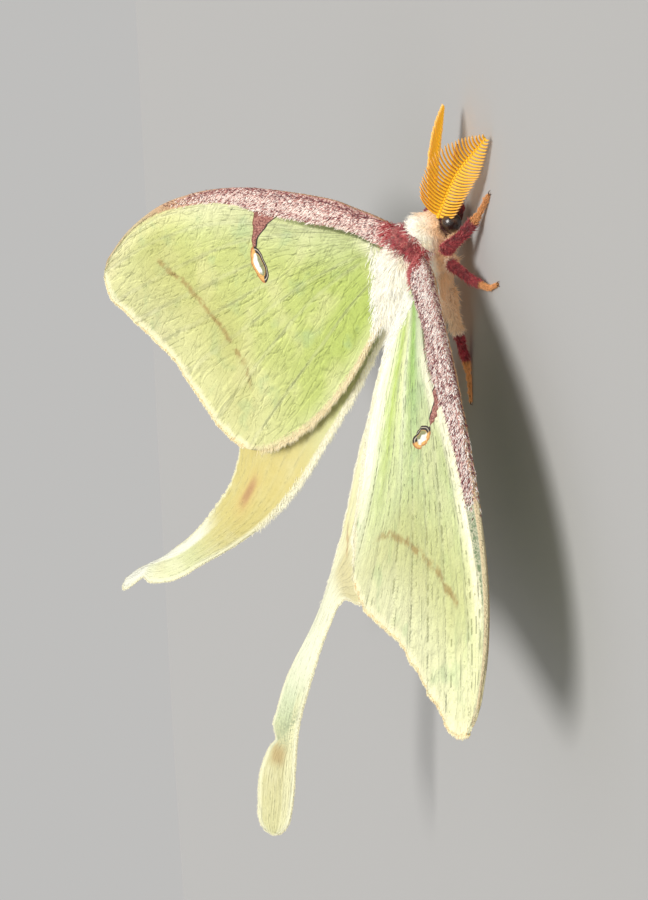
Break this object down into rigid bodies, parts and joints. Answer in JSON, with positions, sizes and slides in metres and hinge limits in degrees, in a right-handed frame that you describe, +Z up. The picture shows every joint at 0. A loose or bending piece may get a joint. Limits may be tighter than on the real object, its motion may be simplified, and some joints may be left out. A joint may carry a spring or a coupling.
{
  "type": "luna moth",
  "caption": "Life-size luna moth at rest on its feet, left wings raised and right wings low, with long tailed hindwings and feathered antennae.",
  "frame": {"origin": "the middle of the underside of the whole moth's box, on the floor it stands on", "axes": "+X to the moth's left, across the wings; -Y the way it faces, +Y towards its tails; +Z up, its back"},
  "size_m": [0.1054, 0.0956, 0.0451],
  "materials": {
    "wing_scales": "matt pale green scales, maroon leading edge, eyespots",
    "body_fur": "white and cream fur with a maroon collar",
    "leg_fur": "maroon fur, tan feet",
    "antenna_comb": "golden combs",
    "eye_lens": "dark gloss"
  },
  "bodies": {
    "root": {"thorax": "body_fur", "abdomen": "body_fur", "head": "body_fur", "eye_left": "eye_lens", "eye_right": "eye_lens", "antenna_left": "antenna_comb", "antenna_right": "antenna_comb", "forewing_left": "wing_scales", "forewing_right": "wing_scales", "hindwing_left": "wing_scales", "hindwing_right": "wing_scales", "leg_fore_left": "leg_fur", "leg_fore_right": "leg_fur", "leg_mid_left": "leg_fur", "leg_mid_right": "leg_fur", "leg_hind_left": "leg_fur", "leg_hind_right": "leg_fur"}
  },
  "joints": []
}
